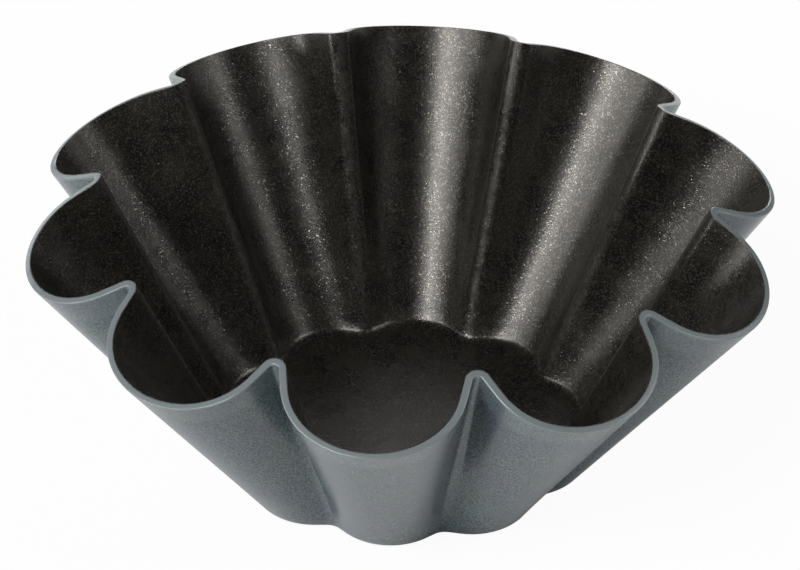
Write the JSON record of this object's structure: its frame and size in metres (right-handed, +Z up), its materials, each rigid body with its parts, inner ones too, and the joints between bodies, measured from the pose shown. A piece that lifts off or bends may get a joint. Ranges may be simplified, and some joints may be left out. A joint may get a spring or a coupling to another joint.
{
  "type": "brioche mould",
  "caption": "Small fluted brioche mould of thin pressed steel, flaring from a flat base to a wavy rim, lacquered outside and non-stick inside.",
  "frame": {"origin": "centre of the flat base, on the surface that the mould stands on", "axes": "+Z up along the mould's axis, towards its mouth; the crest of one flute points along -Y"},
  "size_m": [0.0772, 0.08, 0.0313],
  "materials": {
    "steel": "bare cold-rolled sheet, hidden under the coats",
    "nonstick": "dark brown-black non-stick film with fine bright metallic flecks, satin",
    "lacquer": "slate blue-grey baked lacquer, satin"
  },
  "bodies": {
    "root": {"steel_shell": "steel", "nonstick_film": "nonstick", "outer_lacquer": "lacquer"}
  },
  "joints": []
}
